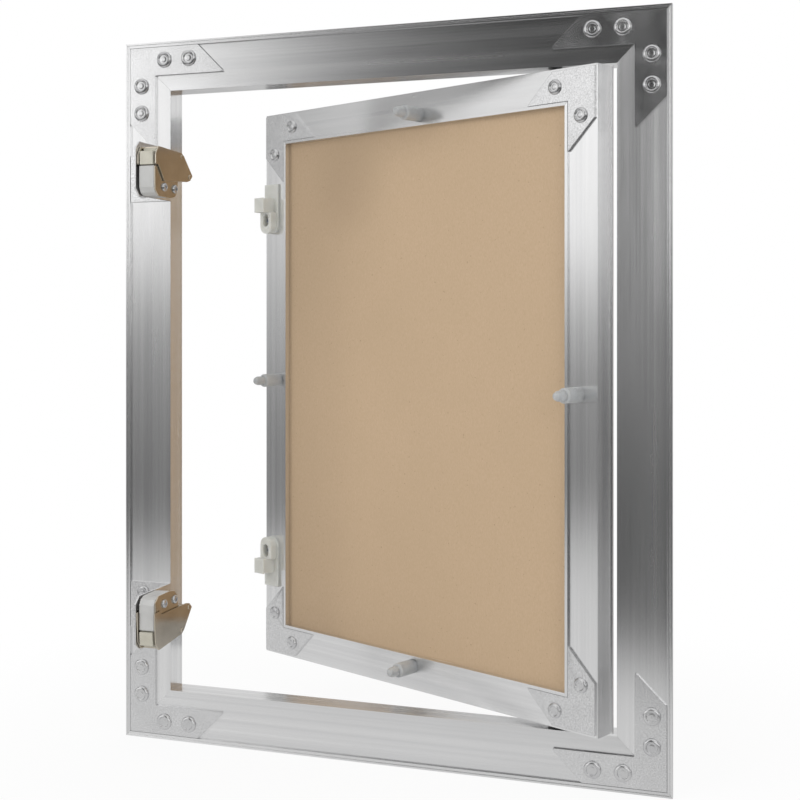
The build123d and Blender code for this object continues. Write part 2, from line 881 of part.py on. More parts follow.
def door_nodes():
    """Everything that swings with the door, drawn closed and then turned to the rest angle."""
    nodes = {
        "door_latch_side_profile": door_member(door_x, door_z, 0),
        "door_hinge_side_profile": door_member(door_x, door_z, 180),
        "door_head_profile": door_member(door_z, door_x, 90),
        "door_sill_profile": door_member(door_z, door_x, -90),
        "door_corner_rivets": door_corner_rivets(),
        "door_plasterboard": door_board_panel(),
        "door_board_screws": board_screws(),
    }
    for name, sign_x, sign_z in corners():
        nodes[f"door_{name}_corner_plate"] = door_corner_plate(sign_x, sign_z)
    for half, side in (("upper", 1), ("lower", -1)):
        nodes[f"{half}_hinge_bush"] = hinge_bush(side)
        nodes[f"{half}_striker"] = striker(side)
        nodes[f"{half}_striker_screw"] = striker_screw(side)
    cap_names = ("latch_side", "hinge_side", "head", "sill")
    for name, (x, z) in zip(cap_names, board_screw_points()):
        nodes[f"{name}_screw_tip_cap"] = screw_tip_cap(x, z)
    return {name: shape.rotate(hinge_axis, -rest_angle) for name, shape in nodes.items()}


os.makedirs("parts", exist_ok=True)
for node, shape in {**frame_nodes(), **door_nodes()}.items():
    export_step(shape, f"parts/{node}.step")
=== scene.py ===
# %% [markdown]
# # A drywall access panel, seen from behind the wall
# The panel is an aluminium frame with a flange, and a door that carries its own piece of
# plasterboard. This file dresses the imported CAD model: it gives every part its finish, makes the
# rivets, screws and springs that are too fine for the CAD, and sets up a small studio.
# The first cell loads the CAD model. Its parts stay where they are, and new pieces are fitted to them.

import json
import math

import bpy
import numpy as np
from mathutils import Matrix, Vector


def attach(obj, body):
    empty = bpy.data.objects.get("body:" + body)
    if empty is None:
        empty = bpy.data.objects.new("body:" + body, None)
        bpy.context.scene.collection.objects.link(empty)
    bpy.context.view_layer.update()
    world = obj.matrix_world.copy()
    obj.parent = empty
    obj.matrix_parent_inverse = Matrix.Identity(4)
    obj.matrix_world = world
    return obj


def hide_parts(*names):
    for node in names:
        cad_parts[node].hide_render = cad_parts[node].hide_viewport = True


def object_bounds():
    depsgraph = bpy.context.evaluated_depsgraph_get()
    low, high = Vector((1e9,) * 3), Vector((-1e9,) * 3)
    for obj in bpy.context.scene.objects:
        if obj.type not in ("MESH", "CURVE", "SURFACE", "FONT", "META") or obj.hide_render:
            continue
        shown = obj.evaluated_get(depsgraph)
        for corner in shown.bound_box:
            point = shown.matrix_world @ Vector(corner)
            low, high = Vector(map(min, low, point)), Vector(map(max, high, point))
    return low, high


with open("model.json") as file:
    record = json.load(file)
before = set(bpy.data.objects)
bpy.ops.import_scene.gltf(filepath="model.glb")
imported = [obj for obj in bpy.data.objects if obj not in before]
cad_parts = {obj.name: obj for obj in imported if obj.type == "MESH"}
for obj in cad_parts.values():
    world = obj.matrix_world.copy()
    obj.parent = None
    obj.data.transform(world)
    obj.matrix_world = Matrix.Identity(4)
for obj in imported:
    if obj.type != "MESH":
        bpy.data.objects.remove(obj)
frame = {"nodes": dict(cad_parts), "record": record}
cad_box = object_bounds()
nodes = frame["nodes"]
MM = 0.001

# %% [markdown]
# ## The camera
# The photograph was taken level, with the lens a little below the top of the door, so upright edges
# stay upright and only the horizon moves. A level camera with a small vertical shift does the same.
# The numbers come from solving the perspective of the frame's corners.

# %% Camera at the photograph's angle
CAMERA_PLACE = (256.4 * MM, -737.0 * MM, 47.5 * MM)
CAMERA_TURN = math.radians(18.35)
LENS = 57.23
HORIZON_SHIFT = -0.1034

camera_data = bpy.data.cameras.new("photo_camera")
camera_data.lens = LENS
camera_data.sensor_width = 36.0
camera_data.shift_y = HORIZON_SHIFT
camera_data.clip_start = 0.01
camera = bpy.data.objects.new("photo_camera", camera_data)
camera.location = CAMERA_PLACE
camera.rotation_euler = (math.pi / 2, 0.0, CAMERA_TURN)
bpy.context.collection.objects.link(camera)
bpy.context.scene.camera = camera
bpy.context.scene.view_settings.view_transform = "Standard"
print("camera", tuple(round(v, 4) for v in camera.location), "lens", LENS)

# %% [markdown]
# ## Small helpers for shader trees
# A material is a small graph. These helpers add a node with its values, and join sockets, so that
# each finish below reads as a short recipe.


# %% Node helpers
def add(tree, kind, values=None, **settings):
    """Adds one shader node, sets its properties, and fills its input sockets."""
    node = tree.nodes.new("ShaderNode" + kind)
    for name, value in settings.items():
        setattr(node, name, value)
    for socket, value in (values or {}).items():
        if isinstance(value, bpy.types.NodeSocket):
            tree.links.new(value, node.inputs[socket])
        else:
            node.inputs[socket].default_value = value
    return node


def maths(tree, operation, a, b=0.0, clamp=False):
    """One step of arithmetic on two values or sockets."""
    return add(tree, "Math", {0: a, 1: b}, operation=operation, use_clamp=clamp).outputs[0]


def remap(tree, value, low, high, out_low, out_high, smooth=False):
    """Takes a value from one range to another, held at the ends."""
    kind = "SMOOTHSTEP" if smooth else "LINEAR"
    sockets = {"Value": value, "From Min": low, "From Max": high, "To Min": out_low, "To Max": out_high}
    return add(tree, "MapRange", sockets, interpolation_type=kind, clamp=True).outputs["Result"]


def mix_colours(tree, factor, a, b, blend="MIX"):
    """Mixes two colours or sockets."""
    return add(tree, "Mix", {0: factor, 6: a, 7: b}, data_type="RGBA", blend_type=blend).outputs[2]


def new_material(name):
    """A material with an empty tree, its principled shader and its output."""
    material = bpy.data.materials.new(name)
    material.use_nodes = True
    tree = material.node_tree
    tree.nodes.clear()
    shader = add(tree, "BsdfPrincipled")
    output = add(tree, "OutputMaterial", {"Surface": shader.outputs[0]})
    output.location = (400, 0)
    return material, tree, shader


def object_place(tree, scale=(1.0, 1.0, 1.0), turn=(0.0, 0.0, 0.0), move=(0.0, 0.0, 0.0)):
    """Object coordinates, turned and then stretched by a Mapping node."""
    place = add(tree, "TexCoord").outputs["Object"]
    turned = add(tree, "Mapping", {"Vector": place, "Rotation": turn, "Location": move}).outputs[0]
    return add(tree, "Mapping", {"Vector": turned, "Scale": scale}).outputs[0]


print("helpers ready")

# %% [markdown]
# ## The studio
# Mill aluminium has almost no colour of its own: what is seen on it is the room. In the photograph
# the flange shows a bright window-like softbox at the left, a dim room behind the camera, and a
# pale table near the object. So the world is white where the camera looks straight at it, and has
# that softbox and dim side for reflections. The floor is a pale table that ends in a soft edge.

# %% World: white to the eye, a softbox and a dim side in reflections
world = bpy.data.worlds.new("studio_world")
bpy.context.scene.world = world
world.use_nodes = True
tree = world.node_tree
tree.nodes.clear()
ROOM_FOR_SOFT_LIGHT = 0.55
BEHIND_LEVEL = 0.76
BEHIND_RIGHT_LEVEL = 1.12


def by_degrees(tree, angle, stops, low, high):
    """A level that runs through the given stops of degrees and brightness, from an angle in radians."""
    place = remap(tree, angle, math.radians(low), math.radians(high), 0.0, 1.0)
    ramp = add(tree, "ValToRGB", {0: place})
    elements = ramp.color_ramp.elements
    elements[0].position, elements[1].position = 0.0, 1.0
    for degrees, level in stops[1:-1]:
        elements.new((degrees - low) / (high - low))
    for element, (degrees, level) in zip(elements, stops):
        element.color = (level, level, level, 1.0)
    return ramp.outputs["Color"]


# Azimuth counts from straight towards the camera's side of the room, minus to its left.
SOFTBOX = [(-180, 0.60), (-90, 0.32), (-76, 0.34), (-65, 1.08), (-55, 1.15), (-36, 1.60), (-30, 1.60), (-26, 1.00), (-23, 0.47), (-18, 0.12), (-13, 0.04)]
UPPER_ROOM = SOFTBOX + [(1, 0.04), (7, 1.60), (22, 1.50), (60, 0.75), (180, 0.75)]
LOWER_ROOM = [(-180, 0.42), (-60, 0.42), (-30, 0.27), (-7, 0.12), (30, 0.26), (180, 0.42)]
direction = add(tree, "TexCoord").outputs["Generated"]
parts = add(tree, "SeparateXYZ", {0: direction})
dx, dy, dz = parts.outputs[0], parts.outputs[1], parts.outputs[2]
azimuth = maths(tree, "ARCTAN2", dx, maths(tree, "MULTIPLY", dy, -1.0))
upper = by_degrees(tree, azimuth, UPPER_ROOM, -180, 180)
upper = maths(tree, "MULTIPLY", upper, remap(tree, dz, 0.19, 0.42, 1.0, 0.55, smooth=True))
lower = by_degrees(tree, azimuth, LOWER_ROOM, -180, 180)
above = remap(tree, dz, 0.008, 0.052, 0.0, 1.0, smooth=True)
overhead = remap(tree, dz, 0.50, 0.8, 0.0, 1.0, smooth=True)
behind = remap(tree, dy, 0.25, 0.6, 0.0, 1.0, smooth=True)
behind_level = remap(tree, dx, 0.55, 0.85, BEHIND_LEVEL, BEHIND_RIGHT_LEVEL, smooth=True)
reflected = add(tree, "Mix", {0: above, 2: lower, 3: upper}, data_type="FLOAT").outputs[0]
reflected = add(tree, "Mix", {0: overhead, 2: reflected, 3: 0.9}, data_type="FLOAT").outputs[0]
reflected = add(tree, "Mix", {0: behind, 2: reflected, 3: behind_level}, data_type="FLOAT").outputs[0]
rays = add(tree, "LightPath")
seen = maths(tree, "MAXIMUM", rays.outputs["Is Camera Ray"], rays.outputs["Is Transmission Ray"])
strength = add(tree, "Mix", {0: rays.outputs["Is Glossy Ray"], 2: ROOM_FOR_SOFT_LIGHT, 3: reflected}, data_type="FLOAT")
strength = add(tree, "Mix", {0: seen, 2: strength.outputs[0], 3: 1.0}, data_type="FLOAT").outputs[0]
background = add(tree, "Background", {"Color": (1.0, 1.0, 1.0, 1.0), "Strength": strength})
add(tree, "OutputWorld", {"Surface": background.outputs[0]})
print("world ready")

# %% Floor: a pale table that keeps the object's shadow
TABLE_EDGE_WAY = (0.476, -0.880, 0.0)
TABLE_EDGE_FROM, TABLE_EDGE_TO = 0.19, 0.44
TABLE_SHINE = 0.71
floor_level = cad_box[0][2]

floor_mesh = bpy.data.meshes.new("studio_floor")
reach = 6.0
corners = [(-reach, -reach), (reach, -reach), (reach, reach), (-reach, reach)]
floor_mesh.from_pydata([(x, y, floor_level) for x, y in corners], [], [(0, 1, 2, 3)])
floor = bpy.data.objects.new("studio_floor", floor_mesh)
bpy.context.collection.objects.link(floor)

material = bpy.data.materials.new("pale_table")
material.use_nodes = True
tree = material.node_tree
tree.nodes.clear()
place = add(tree, "TexCoord").outputs["Object"]
place_parts = add(tree, "SeparateXYZ", {0: place})
east, north = place_parts.outputs[0], place_parts.outputs[1]
edge_way = add(tree, "VectorMath", {0: place, 1: TABLE_EDGE_WAY}, operation="DOT_PRODUCT").outputs["Value"]
table = remap(tree, edge_way, TABLE_EDGE_FROM, TABLE_EDGE_TO, 1.0, 0.0, smooth=True)
table = maths(tree, "MULTIPLY", table, remap(tree, east, -1.0, -0.42, 0.0, 1.0, smooth=True))
table = maths(tree, "MULTIPLY", table, remap(tree, east, 0.12, 0.40, 1.0, 0.0, smooth=True))
from_object = add(tree, "VectorMath", {0: place}, operation="LENGTH").outputs["Value"]
behind_object = remap(tree, north, -0.05, 0.12, 0.0, 1.0)
far_rise = add(tree, "Mix", {0: behind_object, 2: 0.05, 3: 0.45}, data_type="FLOAT").outputs[0]
far_rise = maths(tree, "MULTIPLY", far_rise, remap(tree, from_object, 1.5, 5.0, 0.0, 1.0))
far = maths(tree, "ADD", remap(tree, east, -1.2, -0.4, 0.22, 0.12), maths(tree, "MULTIPLY", behind_object, 0.22))
beside_object = maths(tree, "MULTIPLY", remap(tree, east, 0.20, 0.48, 0.0, 0.42), remap(tree, north, -0.6, -0.1, 0.0, 1.0))
far = maths(tree, "MAXIMUM", maths(tree, "ADD", far, far_rise), maths(tree, "ADD", far, beside_object))
shine = add(tree, "Mix", {0: table, 2: far, 3: TABLE_SHINE}, data_type="FLOAT").outputs[0]
diffuse = add(tree, "BsdfDiffuse", {"Color": (0.86, 0.86, 0.86, 1.0)}).outputs[0]
white = add(tree, "Emission", {"Strength": 1.0}).outputs[0]
shadow_share = remap(tree, from_object, 0.25, 0.50, 0.09, 0.0, smooth=True)
seen_floor = add(tree, "MixShader", {0: shadow_share, 1: white, 2: diffuse}).outputs[0]
glow = add(tree, "Emission", {"Strength": shine}).outputs[0]
rays = add(tree, "LightPath")
seen = maths(tree, "MAXIMUM", rays.outputs["Is Camera Ray"], rays.outputs["Is Transmission Ray"])
shader = add(tree, "MixShader", {0: rays.outputs["Is Glossy Ray"], 1: diffuse, 2: glow}).outputs[0]
shader = add(tree, "MixShader", {0: seen, 1: shader, 2: seen_floor}).outputs[0]
add(tree, "OutputMaterial", {"Surface": shader})
floor_mesh.materials.append(material)
print("floor at", round(floor_level, 4))


# %% Lamps: one large soft key at the left, a weaker fill at the right and one from above
def soft_lamp(name, place, target, size, power):
    """A square area lamp that points at a target and isn't itself seen in the metal."""
    data = bpy.data.lights.new(name, "AREA")
    data.size = size
    data.energy = power
    lamp = bpy.data.objects.new(name, data)
    lamp.location = place
    aim = np.array(target) - np.array(place)
    lamp.rotation_euler = (
        math.atan2(math.hypot(aim[0], aim[1]), -aim[2]),
        0.0,
        math.atan2(aim[0], -aim[1]) + math.pi,
    )
    lamp.visible_glossy = False
    bpy.context.collection.objects.link(lamp)
    return lamp


soft_lamp("key_lamp", (-1.3, -1.7, 1.0), (0.0, 0.0, 0.0), 1.6, 20.0)
soft_lamp("fill_lamp", (1.5, -1.3, 0.5), (0.0, 0.0, 0.0), 1.4, 9.0)
soft_lamp("top_lamp", (0.1, 0.2, 1.9), (0.0, 0.0, 0.0), 1.6, 8.0)
print("lamps ready")

# %% [markdown]
# ## Grain as a shared node group
# Extruded aluminium carries fine lines along its length, drawn by the die. They can be drawn as
# noise that is stretched very long one way. The same group serves every profile, and puts out a
# broad streak mask, a fine line height and a roughness, so that each material sets its own depth.


# %% Die lines group
def new_group(name, inputs, outputs):
    """An empty shader node group with named sockets."""
    group = bpy.data.node_groups.new(name, "ShaderNodeTree")
    for label, kind, value in inputs:
        socket = group.interface.new_socket(label, in_out="INPUT", socket_type="NodeSocket" + kind)
        if value is not None:
            socket.default_value = value
    for label, kind in outputs:
        group.interface.new_socket(label, in_out="OUTPUT", socket_type="NodeSocket" + kind)
    return group, group.nodes.new("NodeGroupInput"), group.nodes.new("NodeGroupOutput")


def noise(tree, vector, scale, detail=2.0, roughness=0.5, distortion=0.0):
    """A noise value between 0 and 1."""
    sockets = {"Vector": vector, "Scale": scale, "Detail": detail, "Roughness": roughness, "Distortion": distortion}
    return add(tree, "TexNoise", sockets).outputs["Fac"]


die_lines, inside, outside = new_group(
    "die_lines",
    [("Along", "Vector", None), ("Fine", "Float", 1500.0), ("Broad", "Float", 160.0)],
    [("Streaks", "Float"), ("Lines", "Float"), ("Scuff", "Float")],
)
along = inside.outputs["Along"]
stretched = add(die_lines, "Mapping", {"Vector": along, "Scale": (1.0, 1.0, 0.004)}).outputs[0]
fine = noise(die_lines, stretched, inside.outputs["Fine"], 3.0, 0.7)
broad = noise(die_lines, stretched, inside.outputs["Broad"], 3.0, 0.55)
scuffed = add(die_lines, "Mapping", {"Vector": along, "Scale": (1.0, 1.0, 0.12)}).outputs[0]
scuff = noise(die_lines, scuffed, 60.0, 4.0, 0.6)
die_lines.links.new(remap(die_lines, broad, 0.3, 0.7, 0.0, 1.0), outside.inputs["Streaks"])
die_lines.links.new(fine, outside.inputs["Lines"])
die_lines.links.new(remap(die_lines, scuff, 0.35, 0.75, 0.0, 1.0), outside.inputs["Scuff"])
print("die_lines group")

# %% Fine speckle group: the grain of rolled sheet, moulded plastic and paper
speckle, inside, outside = new_group(
    "speckle",
    [("Vector", "Vector", None), ("Size", "Float", 1800.0), ("Patches", "Float", 40.0)],
    [("Grain", "Float"), ("Cloud", "Float")],
)
grain = noise(speckle, inside.outputs["Vector"], inside.outputs["Size"], 3.0, 0.65)
cloud = noise(speckle, inside.outputs["Vector"], inside.outputs["Patches"], 4.0, 0.55, 0.4)
speckle.links.new(remap(speckle, grain, 0.25, 0.75, 0.0, 1.0), outside.inputs["Grain"])
speckle.links.new(remap(speckle, cloud, 0.3, 0.7, 0.0, 1.0), outside.inputs["Cloud"])
print("speckle group")

# %% [markdown]
# ## Mill aluminium for the profiles
# Uprights have their lines along Z and level members along X, and the door's level members are
# turned with the door. Dot products with the grain and two ways across it turn the pattern, so one
# recipe serves all three.

# %% Profile finish
DOOR_TURN = math.radians(-24.5)
UP = (0.0, 0.0, 1.0)
ALONG_FRAME = (1.0, 0.0, 0.0)
ALONG_DOOR = (math.cos(DOOR_TURN), math.sin(DOOR_TURN), 0.0)


def profile_finish(name, grain):
    """Extruded aluminium whose die lines run along the given direction.

    The pattern's coordinates are the distance along the grain and two across it. The highlight
    is stretched across the grain: the tangent is the normal crossed with the grain.
    """
    made, tree, shader = new_material(name)
    place = add(tree, "TexCoord").outputs["Object"]
    side = (grain[1], -grain[0], 0.0) if grain[2] == 0 else (1.0, 0.0, 0.0)
    other = UP if grain[2] == 0 else (0.0, 1.0, 0.0)
    axes = [add(tree, "VectorMath", {0: place, 1: axis}, operation="DOT_PRODUCT").outputs["Value"] for axis in (side, other, grain)]
    along = add(tree, "CombineXYZ", {0: axes[0], 1: axes[1], 2: axes[2]}).outputs[0]
    lines = add(tree, "Group", {"Along": along, "Fine": 2600.0, "Broad": 260.0}, node_tree=die_lines)
    streaks, fine, scuff = lines.outputs[0], lines.outputs[1], lines.outputs[2]
    tone = mix_colours(tree, streaks, (0.79, 0.79, 0.795, 1), (0.92, 0.92, 0.92, 1))
    rough = maths(tree, "ADD", remap(tree, streaks, 0, 1, 0.20, 0.25), remap(tree, scuff, 0, 1, 0.0, 0.05))
    height = maths(tree, "ADD", fine, maths(tree, "MULTIPLY", streaks, 0.15))
    bump = add(tree, "Bump", {"Strength": 1.0, "Distance": 0.000006, "Height": height})
    grain_vector = add(tree, "VectorTransform", {0: grain}, vector_type="VECTOR", convert_from="OBJECT", convert_to="WORLD")
    normal = add(tree, "NewGeometry").outputs["Normal"]
    across = add(tree, "VectorMath", {0: normal, 1: grain_vector.outputs[0]}, operation="CROSS_PRODUCT").outputs[0]
    tree.links.new(tone, shader.inputs["Base Color"])
    tree.links.new(rough, shader.inputs["Roughness"])
    tree.links.new(bump.outputs[0], shader.inputs["Normal"])
    tree.links.new(across, shader.inputs["Tangent"])
    shader.inputs["Anisotropic"].default_value = 0.80
    shader.inputs["Metallic"].default_value = 1.0
    return made


upright_profile = profile_finish("mill_aluminium_upright", UP)
level_profile = profile_finish("mill_aluminium_level", ALONG_FRAME)
door_level_profile = profile_finish("mill_aluminium_door_level", ALONG_DOOR)
print("profile finishes")


# %% Sheet, rivet and screw finishes
def sheet_finish(name, light, dark, rough_low, rough_high, grain_size, depth, spots=0.18):
    """Rolled or plated metal with a fine even grain, cloudy tone and slight unevenness."""
    made, tree, shader = new_material(name)
    place = object_place(tree)
    mottle = add(tree, "Group", {"Vector": place, "Size": grain_size, "Patches": 55.0}, node_tree=speckle)
    grain, cloud = mottle.outputs[0], mottle.outputs[1]
    tone = mix_colours(tree, cloud, dark, light)
    tone = mix_colours(tree, remap(tree, grain, 0.25, 0.9, 0.0, spots), tone, (0.25, 0.25, 0.25, 1))
    rough = add(tree, "Mix", {0: cloud, 2: rough_low, 3: rough_high}, data_type="FLOAT").outputs[0]
    bump = add(tree, "Bump", {"Strength": 1.0, "Distance": depth, "Height": grain})
    tree.links.new(tone, shader.inputs["Base Color"])
    tree.links.new(rough, shader.inputs["Roughness"])
    tree.links.new(bump.outputs[0], shader.inputs["Normal"])
    shader.inputs["Metallic"].default_value = 1.0
    return made


plate_metal = sheet_finish("rolled_plate", (0.89, 0.89, 0.895, 1), (0.80, 0.80, 0.805, 1), 0.19, 0.28, 1300.0, 0.000016, 0.40)
rivet_metal = sheet_finish("pressed_rivet", (0.80, 0.80, 0.80, 1), (0.66, 0.66, 0.67, 1), 0.18, 0.30, 2200.0, 0.000008)
nickel_steel = sheet_finish("nickel_plated_steel", (0.62, 0.565, 0.475, 1), (0.49, 0.44, 0.36, 1), 0.12, 0.22, 1600.0, 0.000006)
zinc_steel = sheet_finish("zinc_plated_steel", (0.70, 0.71, 0.73, 1), (0.55, 0.56, 0.58, 1), 0.18, 0.32, 2400.0, 0.000008)
# The lighter colour for the rounded edges of plated steel is a painted highlight.
nickel_painted_highlight = sheet_finish("nickel_plated_painted_highlight_edge", (0.92, 0.86, 0.74, 1), (0.84, 0.78, 0.66, 1), 0.30, 0.42, 1600.0, 0.000006)
print("sheet finishes")


# %% Plastics
def plastic_finish(name, light, dark, roughness, translucent=0.0, depth=0.000012):
    """Moulded plastic with a slight orange-peel skin, and light that enters it if asked."""
    made, tree, shader = new_material(name)
    place = object_place(tree)
    mottle = add(tree, "Group", {"Vector": place, "Size": 1400.0, "Patches": 90.0}, node_tree=speckle)
    grain, cloud = mottle.outputs[0], mottle.outputs[1]
    tone = mix_colours(tree, cloud, dark, light)
    rough = add(tree, "Mix", {0: grain, 2: roughness * 0.85, 3: roughness * 1.15}, data_type="FLOAT").outputs[0]
    bump = add(tree, "Bump", {"Strength": 1.0, "Distance": depth, "Height": grain})
    tree.links.new(tone, shader.inputs["Base Color"])
    tree.links.new(rough, shader.inputs["Roughness"])
    tree.links.new(bump.outputs[0], shader.inputs["Normal"])
    shader.inputs["Subsurface Weight"].default_value = translucent
    shader.inputs["Subsurface Scale"].default_value = 0.004
    shader.inputs["Subsurface Radius"].default_value = (1.0, 0.95, 0.85)
    return made


grey_plastic = plastic_finish("latch_housing_plastic", (0.52, 0.52, 0.51, 1), (0.45, 0.45, 0.44, 1), 0.34)
cream_plastic = plastic_finish("latch_block_plastic", (0.54, 0.52, 0.44, 1), (0.46, 0.44, 0.37, 1), 0.26)
striker_plastic = plastic_finish("striker_plastic", (0.70, 0.70, 0.66, 1), (0.63, 0.63, 0.585, 1), 0.38, 0.5)
cap_plastic = plastic_finish("cap_plastic", (0.49, 0.50, 0.505, 1), (0.40, 0.41, 0.415, 1), 0.28, 0.7)
bush_plastic = plastic_finish("bush_plastic", (0.035, 0.035, 0.037, 1), (0.02, 0.02, 0.022, 1), 0.45)
print("plastic finishes")

# %% [markdown]
# ## Brown paper on the plasterboard
# The liner is kraft paper: fibres a few tenths of a millimetre long lie all ways, with a few dark
# flecks, and the sheet has faint cloudy bands. Two stretched noises crossed make the fibres.

# %% Kraft paper finish
# Centre of a soft darker patch on the board: a painted shadow.
PAINTED_SHADOW_PLACE = (-0.050, 0.069, 0.136)
kraft, tree, shader = new_material("kraft_liner")
place = object_place(tree)
fibres_up = add(tree, "Mapping", {"Vector": place, "Scale": (1.0, 1.0, 0.4)}).outputs[0]
fibres_across = add(tree, "Mapping", {"Vector": place, "Rotation": (0.4, 0.9, 0.3), "Scale": (1.0, 1.0, 0.3)}).outputs[0]
felt = maths(tree, "ADD", noise(tree, fibres_up, 1500.0, 4.0, 0.65), noise(tree, fibres_across, 1700.0, 4.0, 0.65))
mottle = add(tree, "Group", {"Vector": place, "Size": 420.0, "Patches": 14.0}, node_tree=speckle)
tone = mix_colours(tree, remap(tree, felt, 0.7, 1.3, 0.0, 1.0), (0.505, 0.365, 0.235, 1), (0.580, 0.432, 0.290, 1))
tone = mix_colours(tree, remap(tree, mottle.outputs[1], 0.0, 1.0, 0.0, 0.30), tone, (0.49, 0.365, 0.235, 1))
# Darkens the paper round that point: a painted shadow.
from_painted_shadow = add(tree, "VectorMath", {0: place, 1: PAINTED_SHADOW_PLACE}, operation="DISTANCE").outputs["Value"]
painted_shadow = remap(tree, from_painted_shadow, 0.004, 0.046, 0.42, 0.0, smooth=True)
tone = mix_colours(tree, painted_shadow, tone, (0.40, 0.29, 0.19, 1))
flecks = remap(tree, noise(tree, place, 650.0, 2.0, 0.5), 0.70, 0.76, 0.0, 0.45)
tone = mix_colours(tree, flecks, tone, (0.22, 0.14, 0.08, 1))
bump = add(tree, "Bump", {"Strength": 1.0, "Distance": 0.00003, "Height": felt})
tree.links.new(tone, shader.inputs["Base Color"])
tree.links.new(bump.outputs[0], shader.inputs["Normal"])
shader.inputs["Roughness"].default_value = 0.75
shader.inputs["Specular IOR Level"].default_value = 0.25
print("kraft liner")

# %% Give every CAD node its finish
finish_of_ending = {
    "corner_plate": plate_metal,
    "bracket": plate_metal,
    "rivets": rivet_metal,
    "housing": grey_plastic,
    "arm_block": cream_plastic,
    "striker": striker_plastic,
    "tip_cap": cap_plastic,
    "hinge_bush": bush_plastic,
    "screws": zinc_steel,
    "striker_screw": zinc_steel,
    "hinge_pin": zinc_steel,
    "plasterboard": kraft,
}


def finish_for(name):
    """The finish of a node, from how its name ends."""
    if name.endswith("profile"):
        level = "head" in name or "sill" in name
        if not level:
            return upright_profile
        return door_level_profile if name.startswith("door") else level_profile
    for ending, finish in finish_of_ending.items():
        if name.endswith(ending):
            return finish
    return nickel_steel


for name, node in nodes.items():
    node.data.materials.clear()
    node.data.materials.append(finish_for(name))
print("finishes on", len(nodes), "nodes")

# %% [markdown]
# ## Edges
# No real edge is perfectly sharp, and on bright metal it is the narrow rounded edge that catches the
# light. The CAD meshes are loose triangles, so they are welded first and then bevelled.

# %% Rounded edges on the CAD nodes
edge_of_ending = {
    "profile": 0.22,
    "corner_plate": 0.25,
    "bracket": 0.25,
    "arm_channel": 0.28,
    "side_plate": 0.28,
    "housing": 0.5,
    "arm_block": 0.5,
    "striker": 0.6,
    "tip_cap": 0.3,
    "hinge_pin": 0.2,
    "catch_pin": 0.2,
    "pivot_pin": 0.2,
}


def round_edges(node, width, segments=3):
    """Welds a CAD node's triangles and rounds its edges; on plated steel the rounded edges get a lighter colour, a
    painted highlight.
    """
    weld = node.modifiers.new("weld", "WELD")
    weld.merge_threshold = 1e-5
    flat = node.modifiers.new("flat", "DECIMATE")
    flat.decimate_type = "DISSOLVE"
    flat.angle_limit = math.radians(0.5)
    bevel = node.modifiers.new("bevel", "BEVEL")
    bevel.width = width * MM
    bevel.segments = segments
    bevel.limit_method = "ANGLE"
    bevel.angle_limit = math.radians(35)
    bevel.harden_normals = True
    # Plated steel's rounded edges take the lighter colour: a painted highlight.
    if node.data.materials[0] == nickel_steel:
        node.data.materials.append(nickel_painted_highlight)
        bevel.material = 1


for name, node in nodes.items():
    for ending, width in edge_of_ending.items():
        if name.endswith(ending):
            round_edges(node, width)
print("edges rounded")

# %% [markdown]
# ## Turned pieces
# Rivets and screws are surfaces of revolution. A profile gives radius and height, and every point is
# (r cos a, h, r sin a) before it is turned to its axis. Heads that aren't quite round are made by
# letting the height depend on the angle too.


# %% Turned surfaces
def smooth(low, high, t):
    """Smoothstep: 3u^2 - 2u^3, where u runs from 0 at low to 1 at high."""
    u = np.clip((t - low) / (high - low), 0.0, 1.0)
    return u * u * (3.0 - 2.0 * u)


def turned_surface(radii, heights):
    """Points and faces of a closed surface from rows of radius and height, one row per ring.

    Both arrays have a row per ring and a column per angle. The first and last rings close on the
    axis with one point each.
    """
    rings, steps = radii.shape
    angle = np.linspace(0.0, 2.0 * np.pi, steps, endpoint=False)
    body = np.stack([radii * np.cos(angle), heights, radii * np.sin(angle)], axis=-1).reshape(-1, 3)
    first = np.array([[0.0, heights[0].mean(), 0.0]])
    last = np.array([[0.0, heights[-1].mean(), 0.0]])
    points = np.concatenate([body, first, last])
    ring = np.arange(rings - 1)[:, None] * steps
    here = np.arange(steps)[None, :]
    after = (here + 1) % steps
    quads = np.stack([ring + here, ring + after, ring + steps + after, ring + steps + here], axis=-1).reshape(-1, 4)
    here, after = here[0], after[0]
    top = np.stack([np.full(steps, rings * steps), after, here], axis=-1)
    base = (rings - 1) * steps
    bottom = np.stack([np.full(steps, rings * steps + 1), base + here, base + after], axis=-1)
    return points, quads.tolist() + top.tolist() + bottom.tolist()


def new_piece(name, points, faces, finish, body, slot, *replaced):
    """A smooth mesh piece that rides on a body and stands for CAD nodes."""
    mesh = bpy.data.meshes.new(name)
    mesh.from_pydata(points.tolist(), [], faces)
    mesh.validate()
    mesh.shade_smooth()
    mesh.materials.append(finish)
    piece = bpy.data.objects.new(name, mesh)
    bpy.context.collection.objects.link(piece)
    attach(piece, body)
    if replaced:
        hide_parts(*replaced)
    return piece


def corners_of(node):
    """A CAD node's mesh points as an array, in metres."""
    flat = np.empty(len(node.data.vertices) * 3)
    node.data.vertices.foreach_get("co", flat)
    return flat.reshape(-1, 3)


def clusters(points, across, step):
    """Middles of groups of points, seen along one axis, whose neighbours are less than a step apart.

    A group starts as one point and takes in every point near it until it grows no more.
    """
    left = points
    found = []
    while len(left):
        inside = np.zeros(len(left), bool)
        inside[0] = True
        size = 0
        while inside.sum() > size:
            size = inside.sum()
            apart = left[:, None, across] - left[inside][None, :, across]
            inside = np.linalg.norm(apart, axis=2).min(axis=1) < step
        group = left[inside]
        found.append((group.min(axis=0) + group.max(axis=0)) / 2)
        left = left[~inside]
    return found


